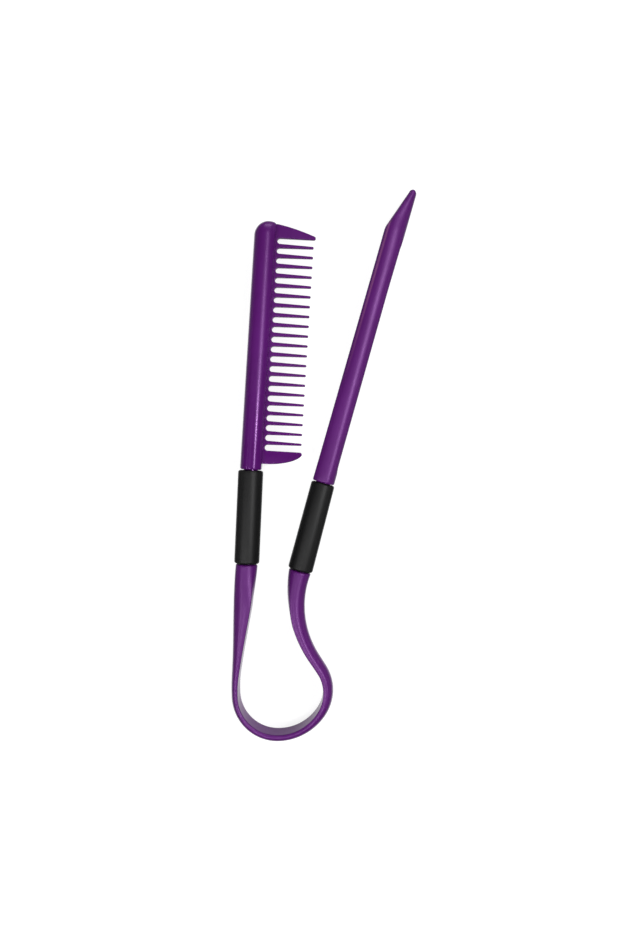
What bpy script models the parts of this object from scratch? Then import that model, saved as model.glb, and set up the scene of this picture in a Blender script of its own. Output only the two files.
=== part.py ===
"""Squeeze comb for straightening hair: a toothed arm and a slotted clamp arm on one springy loop.

The comb lies flat on a table, +Z up, with its arms towards +Y and its loop towards -Y. Lengths are in metres.
Each piece is drawn in the frame of its own stretch: X across it, Y along it and Z through its depth. A lean
turns such a frame clockwise, seen from above.
"""

from math import acos, atan2, ceil, cos, pi, radians, sin, sqrt, tan

import bmesh
import bpy
from mathutils import Matrix, Vector

# Fits between the pieces
SEAM = 0.0003
RUNNING_GAP = 0.0003
CUT_OVERRUN = 0.002
WELD = 0.00001

# Rubber grips: the comb also rests on them and on the loop's band, which is as wide as they are thick
GRIP_DIAMETER = 0.0111
CLAMP_GRIP_TOP_DIAMETER = 0.0105
COMB_GRIP_LENGTH = 0.0415
CLAMP_GRIP_SHORTER_BY = 0.0015
GRIP_ROUNDING = 0.0013
GRIP_ROUNDING_SHARE = 0.7
COMB_GRIP_LEAN = radians(2.5)
CLAMP_GRIP_LEAN = radians(14.9)

# Cores under the grips, and the joint inside them: the arm's tang in the loop's socket
CORE_DIAMETER = 0.0076
TANG_DIAMETER = 0.0050
TANG_LENGTH = 0.0140
TANG_POINT = 0.0006
SHOULDER_ROUNDING = 0.0007

# Spine of the comb arm
COMB_LEAN = radians(3.5)
SPINE_WIDTH = 0.00965
SPINE_DEPTH = 0.0110
SPINE_RIDGE = -0.0004
SPINE_FLAT_SHARE = 0.62
DOME_APEX = 0.0018
DOME_OVER_GUARD = 0.0012
DOME_HEIGHT = 0.0066
DOME_SHOULDER = 0.0018

# Blade of the comb arm: the plate that carries the teeth and the two guards
BLADE_THICKNESS = 0.0024
BLADE_TIP_THICKNESS = 0.0016
BLADE_ROUNDING = 0.0003
ROOT_LAND = 0.0008
GUARD_START = 0.0028
GUARD_LENGTH = 0.0170
LOWER_GUARD_HEIGHT = 0.00605
UPPER_GUARD_HEIGHT = 0.0061
UPPER_GUARD_FALL = radians(9.6)
UPPER_GUARD_CROWN = 0.0800
UPPER_TIP_RADIUS = 0.00084
GUARD_TIP_RADIUS = 0.0011
TOOTH_COUNT = 21
TOOTH_PITCH = 0.00438
TOOTH_ROOT = 0.00182
TOOTH_TIP = 0.00106
TOOTH_LENGTH = 0.0163

# Clamp arm: flat towards the comb, round on its back, with a slot that the teeth pass through
CLAMP_LEAN = radians(16.0)
BAR_FACE = 0.00465
BAR_BACK = 0.00445
BAR_BACK_AT_GRIP = 0.00485
BAR_DEPTH = 0.0108
BAR_RIDGE = -0.0002
BAR_FLAT_SHARE = 0.72
TIP_LAND = 0.0031
TIP_SLANT = radians(18.2)
TIP_RADIUS = 0.00165
TIP_DEPTH = 0.0066
SLOT_SIDE_GAP = 0.0010
SLOT_END_GAP = 0.0010
SLOT_LAND = 0.0030
SLOT_FLARE = 0.0008

# Springy loop, drawn as a chain of straight runs and arcs from the comb grip round to the clamp grip
LEG_DIAMETER = 0.0097
NECK_DIAMETER = 0.0100
HEEL_THICKNESS = 0.0032
BASE_THICKNESS = 0.0036
CROWN_THICKNESS = 0.0045
BAND_RIDGE_SHARE = 0.42
BAND_FLAT_SHARE = 0.80
LEG_ROUND_RUN = 0.0200
NECK_ROUND_RUN = 0.0250
LEG_LEAN = radians(5.6)
LEG_RUN = 0.0492
LEG_TAPER = 0.0569
ENTRY_RADIUS = 0.0644
ENTRY_TURN = radians(8.5)
HEEL_RADIUS = 0.0188
HEEL_TURN = radians(86.3)
BASE_RADIUS = 0.0233
BASE_TURN = radians(57.7)
CROWN_RADIUS = 0.0178
NECK_LEAN = radians(33.5)
NECK_RUN = 0.0060
NECK_RADIUS = 0.0473
NECK_FLARE = 0.0512

# Fineness of the solids
RING_SIDES = 28
GRIP_STEPS = 48
ROUNDING_STEPS = 4
DOME_STEPS = 7
BAR_STEPS = 4
LOOP_STEP_TURN = radians(6)
LOOP_STEP_LENGTH = 0.0040
ROOT_ARC_STEPS = 6
TIP_ARC_STEPS = 4
GUARD_STEPS = 8

PURPLE = (0.085, 0.008, 0.130, 1.0)
BLACK = (0.006, 0.006, 0.006, 1.0)


def clear_scene():
    for item in list(bpy.data.objects):
        bpy.data.objects.remove(item, do_unlink=True)


def collection(name):
    made = bpy.data.collections.new(name)
    bpy.context.scene.collection.children.link(made)
    return made


def plastic_material():
    return plain_material("purple_plastic", PURPLE, 0.32)


def rubber_material():
    return plain_material("black_rubber", BLACK, 0.45)


def plain_material(name, colour, roughness):
    made = bpy.data.materials.new(name)
    made.use_nodes = True
    shader = made.node_tree.nodes["Principled BSDF"]
    shader.inputs["Base Color"].default_value = colour
    shader.inputs["Roughness"].default_value = roughness
    shader.inputs["Metallic"].default_value = 0.0
    return made


def stretch_frame(point, lean):
    """The frame of a stretch that starts at point and runs along its own +Y."""
    return Matrix.Translation(point) @ Matrix.Rotation(-lean, 4, "Z")


def along(frame, distance):
    """The point at a distance along a stretch's middle line."""
    return frame @ Vector((0, distance, 0))


def mix(start, end, share):
    return start + (end - start) * share


def eased(share):
    """From 0 to 1 with a soft start and a soft end."""
    share = min(max(share, 0), 1)
    return share * share * (3 - 2 * share)


def shares(count):
    """Evenly spaced from 0 to 1."""
    return [index / count for index in range(count + 1)]


def section(frame, y, left, right, ridge, depth, flat_side=0, flat_share=0, flatness=1):
    """A closed outline across a stretch, deepest at its ridge.

    The flat side is -1 for the left, 1 for the right and 0 where both sides are round. Its flat share is how
    much of its height lies between its two rounded corners, and its flatness is 0 where it is round again.
    """
    unit = 2 * pi / RING_SIDES
    outline = []
    for index in range(RING_SIDES):
        across = cos(index * unit)
        side, reach = (1, right - ridge) if across > 0 else (-1, left - ridge)
        flat = flatness if side == flat_side else 0
        rise = acos(min(abs(across), 1))
        turned = max(rise - flat * unit, 0) / (pi / 2 - flat * unit) * pi / 2
        face = flat * flat_share * min(rise / unit, 1)
        height = face + (1 - flat * flat_share) * sin(turned)
        upwards = 1 if sin(index * unit) > 0 else -1
        outline.append(frame @ Vector((ridge + reach * cos(turned), y, upwards * height * depth / 2)))
    return outline


def round_section(frame, y, diameter):
    return section(frame, y, -diameter / 2, diameter / 2, 0, diameter)


def loft(name, sections):
    """A closed solid through outlines that all have the same number of points."""
    work = bmesh.new()
    rings = [[work.verts.new(point) for point in outline] for outline in sections]
    for lower, upper in zip(rings, rings[1:]):
        for index in range(len(lower)):
            after = (index + 1) % len(lower)
            work.faces.new((lower[index], lower[after], upper[after], upper[index]))
    work.faces.new(list(reversed(rings[0])))
    work.faces.new(rings[-1])
    bmesh.ops.recalc_face_normals(work, faces=work.faces)
    return mesh_object(name, work)


def mesh_object(name, work):
    mesh = bpy.data.meshes.new(name)
    work.to_mesh(mesh)
    work.free()
    mesh.shade_smooth()
    mesh.set_sharp_from_angle(angle=radians(35))
    return bpy.data.objects.new(name, mesh)


def boolean(target, other, operation):
    """Cut or join another object into the target and keep the result as its mesh."""
    modifier = target.modifiers.new(operation.lower(), "BOOLEAN")
    modifier.operation = operation
    modifier.object = other
    graph = bpy.context.evaluated_depsgraph_get()
    joined = bpy.data.meshes.new_from_object(target.evaluated_get(graph))
    target.modifiers.clear()
    target.data = joined
    target.data.shade_smooth()
    target.data.set_sharp_from_angle(angle=radians(35))


def place(item, frame, parent, group, material):
    group.objects.link(item)
    item.parent = parent
    item.matrix_parent_inverse = Matrix()
    item.matrix_local = frame
    item.data.materials.clear()
    item.data.materials.append(material)
    return item


def empty(name, point, parent, group):
    made = bpy.data.objects.new(name, None)
    group.objects.link(made)
    made.parent = parent
    made.location = point
    return made


def tang_and_core(frame, grip_length):
    """Outlines from a tang's point up to the top of the round core that a grip is pulled over."""
    top = grip_span(grip_length)
    core_start = top - half_core(grip_length)
    tang_start = core_start - TANG_LENGTH
    return [
        round_section(frame, tang_start, TANG_DIAMETER - 2 * TANG_POINT),
        round_section(frame, tang_start + TANG_POINT, TANG_DIAMETER),
        round_section(frame, core_start, TANG_DIAMETER),
        round_section(frame, core_start, CORE_DIAMETER),
        round_section(frame, top, CORE_DIAMETER),
    ]


def socket_and_core(frame, grip_length):
    """Outlines from a socket's floor, up its wall and down the core round it to the bottom of the grip."""
    mouth = half_core(grip_length)
    bore = TANG_DIAMETER + 2 * RUNNING_GAP
    floor = mouth - TANG_LENGTH - SEAM
    return [
        round_section(frame, floor, bore),
        round_section(frame, mouth, bore),
        round_section(frame, mouth, CORE_DIAMETER),
        round_section(frame, 0, CORE_DIAMETER),
    ]


def rounded_shoulder(frame, left, right, ridge, depth, flat_side, flat_share):
    """Outlines that round the end of a stretch over, from its narrow start to its full section."""
    outlines = []
    for share in shares(ROUNDING_STEPS):
        angle = share * pi / 2
        inset = SHOULDER_ROUNDING * (1 - sin(angle))
        y = SHOULDER_ROUNDING * (1 - cos(angle))
        outlines.append(
            section(frame, y, left + inset, right - inset, ridge, depth - 2 * inset, flat_side, flat_share)
        )
    return outlines


def clamp_grip_length():
    return COMB_GRIP_LENGTH - CLAMP_GRIP_SHORTER_BY


def grip_span(grip_length):
    """The distance between the two shoulders that hold a grip."""
    return grip_length + 2 * SEAM


def half_core(grip_length):
    """The arm and the loop each bring half of the core in a grip, with a seam between them."""
    return (grip_span(grip_length) - SEAM) / 2


def grip_mouth(radius, bore_radius):
    """A sleeve's rounded end, from its mouth out to its side: each a radius and a rise from the end."""
    inset = (radius - bore_radius) * GRIP_ROUNDING_SHARE
    return [
        (radius - inset * (1 - sin(share * pi / 2)), GRIP_ROUNDING * (1 - cos(share * pi / 2)))
        for share in shares(ROUNDING_STEPS)
    ]


def make_grip(name, length, bottom_diameter, top_diameter, frame, parent, group, material):
    """A rubber sleeve, turned about its own axis with rounded ends."""
    bore_radius = CORE_DIAMETER / 2 + RUNNING_GAP
    profile = [
        (radius, SEAM + length - rise) for radius, rise in grip_mouth(top_diameter / 2, bore_radius)
    ]
    profile += [
        (radius, SEAM + rise) for radius, rise in reversed(grip_mouth(bottom_diameter / 2, bore_radius))
    ]
    profile.append((bore_radius, SEAM))
    profile.append((bore_radius, SEAM + length))
    work = bmesh.new()
    points = [work.verts.new((radius, 0, height)) for radius, height in profile]
    for index, point in enumerate(points):
        work.edges.new((point, points[(index + 1) % len(points)]))
    grip = mesh_object(name, work)
    turn = grip.modifiers.new("turned", "SCREW")
    turn.steps = GRIP_STEPS
    turn.render_steps = GRIP_STEPS
    turn.use_merge_vertices = True
    turn.merge_threshold = WELD
    upright = Matrix.Rotation(-pi / 2, 4, "X")
    return place(grip, frame @ upright, parent, group, material)


def spine_sections(frame):
    """The comb arm's spine: flat towards the clamp arm, round on its back, domed at its far end."""
    left = -SPINE_WIDTH / 2
    right = SPINE_WIDTH / 2
    outlines = rounded_shoulder(frame, left, right, SPINE_RIDGE, SPINE_DEPTH, 1, SPINE_FLAT_SHARE)
    dome_start = spine_length() - DOME_HEIGHT
    shoulder_start = spine_length() - DOME_SHOULDER
    for share in shares(DOME_STEPS)[:-1]:
        y = dome_start + DOME_HEIGHT * sin(share * pi / 2)
        back = dome_width(y - dome_start, DOME_HEIGHT)
        front = dome_width(y - shoulder_start, DOME_SHOULDER)
        ridge = mix(DOME_APEX, SPINE_RIDGE, back)
        low = mix(DOME_APEX, left, back)
        high = mix(DOME_APEX, right, front)
        outlines.append(section(frame, y, low, high, ridge, SPINE_DEPTH * back, 1, SPINE_FLAT_SHARE))
    return outlines


def dome_width(rise, height):
    """The share of the full width that is left at a rise above the start of a dome."""
    return sqrt(1 - min(max(rise, 0) / height, 1) ** 2)


def arc_points(centre_x, centre_y, radius, start, end, steps):
    return [
        (centre_x + radius * cos(mix(start, end, share)), centre_y + radius * sin(mix(start, end, share)))
        for share in shares(steps)
    ]


def lower_guard_outline(root, bottom):
    """From the spine out along a quarter ellipse, round the tip and back to the first gap."""
    top = bottom + LOWER_GUARD_HEIGHT
    tip_y = top - GUARD_TIP_RADIUS
    ellipse_end = acos(GUARD_TIP_RADIUS / LOWER_GUARD_HEIGHT)
    points = []
    for share in shares(GUARD_STEPS):
        angle = share * ellipse_end
        points.append((root + GUARD_LENGTH * sin(angle), top - LOWER_GUARD_HEIGHT * cos(angle)))
    tip_x = root + GUARD_LENGTH * sin(ellipse_end) - GUARD_TIP_RADIUS
    points += arc_points(tip_x, tip_y, GUARD_TIP_RADIUS, 0, pi / 2, TIP_ARC_STEPS)[1:]
    return points


def upper_guard_height(reach):
    """The upper guard's height above its straight edge: it falls away along a shallow crown."""
    return UPPER_GUARD_HEIGHT - tan(UPPER_GUARD_FALL) * reach - reach * reach / (2 * UPPER_GUARD_CROWN)


def upper_guard_outline(root, bottom):
    """From the last gap out along the straight edge, round the tip and back along the crown."""
    tip_x = root + GUARD_LENGTH - UPPER_TIP_RADIUS
    slope = tan(UPPER_GUARD_FALL) + (GUARD_LENGTH - UPPER_TIP_RADIUS) / UPPER_GUARD_CROWN
    lean = atan2(slope, 1)
    tip_y = bottom + UPPER_TIP_RADIUS
    points = arc_points(tip_x, tip_y, UPPER_TIP_RADIUS, -pi / 2, pi / 2 - lean, TIP_ARC_STEPS)
    last_reach = points[-1][0] - root
    for share in reversed(shares(GUARD_STEPS)[:-1]):
        reach = last_reach * share
        points.append((root + reach, bottom + upper_guard_height(reach)))
    return points


def tooth_outline(root, centre):
    """One tooth, from its lower side round its tip to its upper side."""
    shank = TOOTH_LENGTH - TOOTH_TIP / 2
    gap_radius = (TOOTH_PITCH - TOOTH_ROOT) / 2
    points = [(root + gap_radius, centre - TOOTH_ROOT / 2)]
    points += arc_points(root + shank, centre, TOOTH_TIP / 2, -pi / 2, pi / 2, TIP_ARC_STEPS)
    points.append((root + gap_radius, centre + TOOTH_ROOT / 2))
    return points


def gap_end(root, centre):
    """The round end of a gap, without the points that it shares with the teeth or guards beside it."""
    radius = (TOOTH_PITCH - TOOTH_ROOT) / 2
    return arc_points(root + radius, centre, radius, -pi / 2, -3 * pi / 2, ROOT_ARC_STEPS)[1:-1]


def blade_outline():
    """The plate's outline, counter-clockwise, from inside the spine round the guards and teeth."""
    inside = SPINE_RIDGE
    root = SPINE_WIDTH / 2 + ROOT_LAND
    gap = TOOTH_PITCH - TOOTH_ROOT
    lower_edge = GUARD_START + LOWER_GUARD_HEIGHT
    points = [(inside, GUARD_START)]
    points += lower_guard_outline(root, GUARD_START)
    points.append((root + gap / 2, lower_edge))
    for index in range(TOOTH_COUNT):
        gap_centre = lower_edge + gap / 2 + index * TOOTH_PITCH
        points += gap_end(root, gap_centre)
        points += tooth_outline(root, gap_centre + TOOTH_PITCH / 2)
    last_gap = lower_edge + gap / 2 + TOOTH_COUNT * TOOTH_PITCH
    points += gap_end(root, last_gap)
    points.append((root + gap / 2, last_gap + gap / 2))
    points += upper_guard_outline(root, last_gap + gap / 2)
    points.append((inside, blade_top()))
    return points


def blade_top():
    """The height of the upper guard's top edge where it leaves the spine."""
    gaps = (TOOTH_COUNT + 1) * (TOOTH_PITCH - TOOTH_ROOT)
    return GUARD_START + LOWER_GUARD_HEIGHT + gaps + TOOTH_COUNT * TOOTH_ROOT + UPPER_GUARD_HEIGHT


def spine_length():
    return blade_top() + DOME_OVER_GUARD


def blade_half_thickness(x):
    """Half the plate's thickness, which falls evenly from the roots to the tips."""
    root = SPINE_WIDTH / 2 + ROOT_LAND
    return mix(BLADE_THICKNESS, BLADE_TIP_THICKNESS, (x - root) / GUARD_LENGTH) / 2


def make_blade():
    """The toothed plate as one solid with softened rims."""
    work = bmesh.new()
    lower = [work.verts.new((x, y, -blade_half_thickness(x))) for x, y in blade_outline()]
    upper = [work.verts.new((x, y, blade_half_thickness(x))) for x, y in blade_outline()]
    rims = []
    for index in range(len(lower)):
        after = (index + 1) % len(lower)
        work.faces.new((lower[index], lower[after], upper[after], upper[index]))
        rims.append(work.edges.get((lower[index], lower[after])))
        rims.append(work.edges.get((upper[index], upper[after])))
    work.faces.new(list(reversed(lower)))
    work.faces.new(upper)
    bmesh.ops.recalc_face_normals(work, faces=work.faces)
    bmesh.ops.bevel(
        work, geom=rims, offset=BLADE_ROUNDING, offset_type="OFFSET", segments=1, affect="EDGES", profile=0.5
    )
    return mesh_object("comb_blade", work)


def make_comb_head(head_frame, grip_frame, parent, group, cutters, material):
    """Spine, toothed plate, core and tang moulded in one piece."""
    to_head = head_frame.inverted() @ grip_frame
    sections = tang_and_core(to_head, COMB_GRIP_LENGTH) + spine_sections(Matrix())
    head = loft("comb_head", sections)
    place(head, head_frame, parent, group, material)
    blade = place(make_blade(), head_frame, parent, cutters, material)
    hide_cutter(blade)
    bpy.context.view_layer.update()
    boolean(head, blade, "UNION")
    head.data.materials.clear()
    head.data.materials.append(material)
    return head


def hide_cutter(item):
    item.hide_render = True
    item.display_type = "WIRE"


def slant_reach():
    """The slant's length along the bar, from the face across to where it meets the round end."""
    across = BAR_FACE + BAR_BACK - TIP_RADIUS
    return (across - TIP_RADIUS / cos(TIP_SLANT)) / tan(TIP_SLANT)


def bar_sections(frame, tip_start):
    """The clamp arm's bar: flat towards the comb, round on its back, slanted to a blunt point."""
    outlines = rounded_shoulder(
        frame, -BAR_FACE, BAR_BACK_AT_GRIP, BAR_RIDGE, BAR_DEPTH, -1, BAR_FLAT_SHARE
    )
    tip_centre = tip_start + slant_reach()
    ys = [mix(SHOULDER_ROUNDING, tip_start, share) for share in shares(BAR_STEPS)[1:]]
    ys += [mix(tip_start, tip_centre, share) for share in shares(DOME_STEPS)[1:]]
    ys += [tip_centre + TIP_RADIUS * sin(share * pi / 2) for share in shares(ROUNDING_STEPS)[1:-1]]
    for y in ys:
        back = mix(BAR_BACK_AT_GRIP, BAR_BACK, min(y / tip_start, 1))
        face = -BAR_FACE + max(y - tip_start, 0) * tan(TIP_SLANT)
        narrowed = 1.0
        if y > tip_centre:
            narrowed = dome_width(y - tip_centre, TIP_RADIUS)
            middle = back - TIP_RADIUS
            back = middle + TIP_RADIUS * narrowed
            face = middle - TIP_RADIUS * narrowed
        ridge = min(max(face + TIP_RADIUS, BAR_RIDGE), BAR_BACK - TIP_RADIUS)
        depth = mix(BAR_DEPTH, TIP_DEPTH, eased((y - tip_start) / slant_reach())) * narrowed
        outlines.append(section(frame, y, face, back, ridge, depth, -1, BAR_FLAT_SHARE))
    return outlines


def slot_section(x, half_width, start, end):
    """A slot outline with round ends, across the bar's depth at a place between its face and back."""
    outline = []
    for index in range(RING_SIDES):
        angle = 2 * pi * index / RING_SIDES
        middle = end - half_width if sin(angle) > 0 else start + half_width
        outline.append(Vector((x, middle + half_width * sin(angle), half_width * cos(angle))))
    return outline


def make_slot_cutter(start, end):
    """The slot's cutter: straight through the bar, with a flared mouth on the face."""
    half = BLADE_THICKNESS / 2 + SLOT_SIDE_GAP
    outer = SLOT_FLARE + CUT_OVERRUN
    return loft(
        "slot_cutter",
        [
            slot_section(-BAR_FACE - CUT_OVERRUN, half + outer, start - outer, end + outer),
            slot_section(-BAR_FACE + SLOT_FLARE, half, start, end),
            slot_section(BAR_BACK_AT_GRIP + CUT_OVERRUN, half, start, end),
        ],
    )


def make_clamp_arm(arm_frame, grip_frame, slot_ends, parent, group, cutters, material):
    """Slotted bar, core and tang moulded in one piece."""
    to_arm = arm_frame.inverted() @ grip_frame
    tip_start = slot_ends[1] + TIP_LAND
    sections = tang_and_core(to_arm, clamp_grip_length()) + bar_sections(Matrix(), tip_start)
    arm = loft("clamp_arm", sections)
    place(arm, arm_frame, parent, group, material)
    cutter = place(make_slot_cutter(*slot_ends), arm_frame, parent, cutters, material)
    hide_cutter(cutter)
    bpy.context.view_layer.update()
    boolean(arm, cutter, "DIFFERENCE")
    arm.data.materials.clear()
    arm.data.materials.append(material)
    return arm


def loop_pieces():
    """The loop's middle line as straight runs and arcs: each a length and a turn, clockwise when positive."""
    whole_turn = pi + LEG_LEAN + NECK_LEAN
    crown_turn = whole_turn - ENTRY_TURN - HEEL_TURN - BASE_TURN
    neck_turn = NECK_LEAN + CLAMP_GRIP_LEAN
    return [
        (LEG_RUN, 0),
        (ENTRY_RADIUS * ENTRY_TURN, -ENTRY_TURN),
        (HEEL_RADIUS * HEEL_TURN, -HEEL_TURN),
        (BASE_RADIUS * BASE_TURN, -BASE_TURN),
        (CROWN_RADIUS * crown_turn, -crown_turn),
        (NECK_RUN, 0),
        (NECK_RADIUS * neck_turn, neck_turn),
    ]


def loop_stations():
    """Points along the loop's middle line, each with its heading, clockwise from +Y, and its distance."""
    point = Vector((0, 0, 0))
    heading = pi + LEG_LEAN
    distance = 0
    stations = [(point.copy(), heading, distance)]
    for length, turn in loop_pieces():
        count = max(ceil(abs(turn) / LOOP_STEP_TURN), ceil(length / LOOP_STEP_LENGTH))
        step = length / count
        bend = turn / count
        chord = step if bend == 0 else step * sin(bend / 2) / (bend / 2)
        for _ in range(count):
            middle = heading + bend / 2
            point = point + Vector((sin(middle), cos(middle), 0)) * chord
            heading += bend
            distance += step
            stations.append((point.copy(), heading, distance))
    return stations


def loop_length():
    return sum(length for length, _ in loop_pieces())


def flare(distance):
    """From 1 where the neck meets its grip to 0 where the flare starts, steeper towards the grip."""
    left = loop_length() - distance
    return max(1 - left / NECK_FLARE, 0) ** 2


def band_thickness(distance):
    """Thin round the heel, a little thicker at the base and the crown, and round at both grips."""
    turned = min(max((distance - LEG_TAPER) / (loop_length() - LEG_TAPER - NECK_FLARE), 0), 1)
    band = mix(HEEL_THICKNESS, BASE_THICKNESS, eased(2 * turned))
    band = mix(band, CROWN_THICKNESS, eased(2 * turned - 1))
    leg = 1 - eased(distance / LEG_TAPER)
    band = mix(band, LEG_DIAMETER, leg)
    return mix(band, NECK_DIAMETER, flare(distance))


def roundness(distance):
    """From 1 at either grip, where the loop is a round rod, to 0 where its inner side is flat."""
    leg = 1 - eased(distance / LEG_ROUND_RUN)
    neck = 1 - eased((loop_length() - distance) / NECK_ROUND_RUN)
    return max(leg, neck)


def loop_section(point, heading, distance):
    """The loop's outline at a station: flat on the inside and round on the outside, or a round rod."""
    thickness = band_thickness(distance)
    round_share = roundness(distance)
    ridge = mix(mix(-thickness, thickness, BAND_RIDGE_SHARE) / 2, 0, round_share)
    end_diameter = LEG_DIAMETER if distance < loop_length() / 2 else NECK_DIAMETER
    depth = mix(GRIP_DIAMETER, end_diameter, round_share)
    frame = stretch_frame(point, heading)
    left, right = -thickness / 2, thickness / 2
    return section(frame, 0, left, right, ridge, depth, -1, BAND_FLAT_SHARE, 1 - round_share)


def facing_back(outline):
    """The same outline seen from its other side, so that it joins on to a stretch that runs the other way."""
    half = RING_SIDES // 2
    return [outline[(half - index) % RING_SIDES] for index in range(RING_SIDES)]


def make_loop(clamp_grip_frame, parent, group, material):
    """Two round legs with sockets in their ends, and the springy band between them."""
    comb_grip_frame = stretch_frame((0, 0, 0), COMB_GRIP_LEAN)
    start = [facing_back(outline) for outline in socket_and_core(comb_grip_frame, COMB_GRIP_LENGTH)]
    start.append(facing_back(round_section(comb_grip_frame, 0, LEG_DIAMETER - 2 * SHOULDER_ROUNDING)))
    end = [round_section(clamp_grip_frame, 0, NECK_DIAMETER - 2 * SHOULDER_ROUNDING)]
    end += reversed(socket_and_core(clamp_grip_frame, clamp_grip_length()))
    middle = [
        loop_section(*station)
        for station in loop_stations()
        if SHOULDER_ROUNDING < station[2] < loop_length() - SHOULDER_ROUNDING
    ]
    loop = loft("spring_loop", start + middle + end)
    return place(loop, Matrix(), parent, group, material)


def squeeze_pivot(head_frame, arm_frame):
    """The axis that the loop flexes about, in the hollow above its lowest point.

    Both flat faces pass it at the same distance, but for a running gap, so they would close on each other
    over their whole length. The grips meet a little before that.
    """
    comb_face = head_frame @ Vector((SPINE_WIDTH / 2, 0, 0))
    clamp_face = arm_frame @ Vector((-BAR_FACE, 0, 0))
    comb_across = Vector((cos(COMB_LEAN), -sin(COMB_LEAN)))
    clamp_across = Vector((cos(CLAMP_LEAN), -sin(CLAMP_LEAN)))
    lowest = min((station[0] for station in loop_stations()), key=lambda point: point.y)
    gap = comb_face.xy @ comb_across + RUNNING_GAP - clamp_face.xy @ clamp_across
    slope = comb_across - clamp_across
    return Vector((lowest.x, (gap - slope.x * lowest.x) / slope.y, 0))


def slot_reach(head_frame, arm_frame, pivot):
    """Where the slot starts and ends along the bar, so that the whole blade passes through it."""
    root = SPINE_WIDTH / 2 + ROOT_LAND
    low = (head_frame @ Vector((root, GUARD_START, 0)) - pivot).length
    high = (head_frame @ Vector((root, blade_top(), 0)) - pivot).length
    to_arm = arm_frame.inverted() @ pivot
    face = -BAR_FACE - to_arm.x
    start = max(sqrt(low * low - face * face) + to_arm.y - SLOT_END_GAP, SLOT_LAND)
    end = sqrt(high * high - face * face) + to_arm.y + SLOT_END_GAP
    return start, end


def stand_on_origin(root, parts):
    """Move the whole comb so that its box stands centred on the origin."""
    bpy.context.view_layer.update()
    graph = bpy.context.evaluated_depsgraph_get()
    corners = []
    for part in parts:
        shown = part.evaluated_get(graph)
        corners += [shown.matrix_world @ vertex.co for vertex in shown.data.vertices]
    low = Vector([min(corner[axis] for corner in corners) for axis in range(3)])
    high = Vector([max(corner[axis] for corner in corners) for axis in range(3)])
    middle = (low + high) / 2
    root.location = Vector((-middle.x, -middle.y, -low.z))
    bpy.context.view_layer.update()


def main():
    clear_scene()
    group = collection("squeeze_comb")
    cutters = collection("squeeze_comb_cutters")
    plastic = plastic_material()
    rubber = rubber_material()

    comb_grip_frame = stretch_frame((0, 0, 0), COMB_GRIP_LEAN)
    head_frame = stretch_frame(along(comb_grip_frame, grip_span(COMB_GRIP_LENGTH)), COMB_LEAN)
    clamp_grip_frame = stretch_frame(loop_stations()[-1][0], CLAMP_GRIP_LEAN)
    arm_frame = stretch_frame(along(clamp_grip_frame, grip_span(clamp_grip_length())), CLAMP_LEAN)
    pivot = squeeze_pivot(head_frame, arm_frame)
    slot_ends = slot_reach(head_frame, arm_frame, pivot)

    root = empty("comb_side", (0, 0, 0), None, group)
    clamp_side = empty("clamp_side", pivot, root, group)
    from_pivot = Matrix.Translation(-pivot)
    parts = [
        make_comb_head(head_frame, comb_grip_frame, root, group, cutters, plastic),
        make_grip(
            "comb_grip", COMB_GRIP_LENGTH, GRIP_DIAMETER, GRIP_DIAMETER, comb_grip_frame, root, group, rubber
        ),
        make_loop(clamp_grip_frame, root, group, plastic),
        make_clamp_arm(
            from_pivot @ arm_frame,
            from_pivot @ clamp_grip_frame,
            slot_ends,
            clamp_side,
            group,
            cutters,
            plastic,
        ),
        make_grip(
            "clamp_grip",
            clamp_grip_length(),
            GRIP_DIAMETER,
            CLAMP_GRIP_TOP_DIAMETER,
            from_pivot @ clamp_grip_frame,
            clamp_side,
            group,
            rubber,
        ),
    ]
    stand_on_origin(root, parts)
    print("squeeze axis at", [round(value, 6) for value in clamp_side.matrix_world.translation])


main()
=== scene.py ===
"""Squeeze comb: the detailed pieces, their finishes and the studio, laid out as an add-on."""

from math import acos, atan2, cos, hypot, pi, radians, sin, sqrt, tan

import bmesh
import bpy
from bpy.props import FloatProperty, FloatVectorProperty, IntProperty, PointerProperty
from mathutils import Matrix, Vector


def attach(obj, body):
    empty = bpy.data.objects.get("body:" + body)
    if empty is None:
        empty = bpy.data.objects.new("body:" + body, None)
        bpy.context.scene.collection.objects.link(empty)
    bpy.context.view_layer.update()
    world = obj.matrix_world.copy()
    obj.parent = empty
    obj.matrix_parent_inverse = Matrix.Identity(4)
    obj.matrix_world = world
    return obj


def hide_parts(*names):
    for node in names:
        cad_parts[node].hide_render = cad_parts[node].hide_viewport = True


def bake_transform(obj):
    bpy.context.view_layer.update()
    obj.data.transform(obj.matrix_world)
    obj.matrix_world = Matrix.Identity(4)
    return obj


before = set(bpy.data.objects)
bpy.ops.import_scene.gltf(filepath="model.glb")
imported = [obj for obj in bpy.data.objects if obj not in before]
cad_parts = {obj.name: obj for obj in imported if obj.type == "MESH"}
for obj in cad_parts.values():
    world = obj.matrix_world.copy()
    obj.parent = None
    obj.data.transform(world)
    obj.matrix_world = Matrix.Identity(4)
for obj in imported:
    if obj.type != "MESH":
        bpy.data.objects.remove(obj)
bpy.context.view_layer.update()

bl_info = {
    "name": "Squeeze Comb",
    "version": (1, 0, 0),
    "blender": (4, 5, 0),
    "location": "View3D > Sidebar > Comb",
    "description": "Models a sprung hair straightening comb with its finishes and studio",
    "category": "Mesh",
}

# Where each stretch starts, and how far it leans clockwise, seen from above
COMB_GRIP_FOOT = (-0.034353, -0.043951)
COMB_GRIP_LEAN = radians(2.5)
COMB_FOOT = (-0.032517, -0.001891)
COMB_LEAN = radians(3.5)
CLAMP_GRIP_FOOT = (-0.010668, -0.046914)
CLAMP_GRIP_LEAN = radians(14.9)
CLAMP_FOOT = (-0.000228, -0.007680)
CLAMP_LEAN = radians(16.0)
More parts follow.
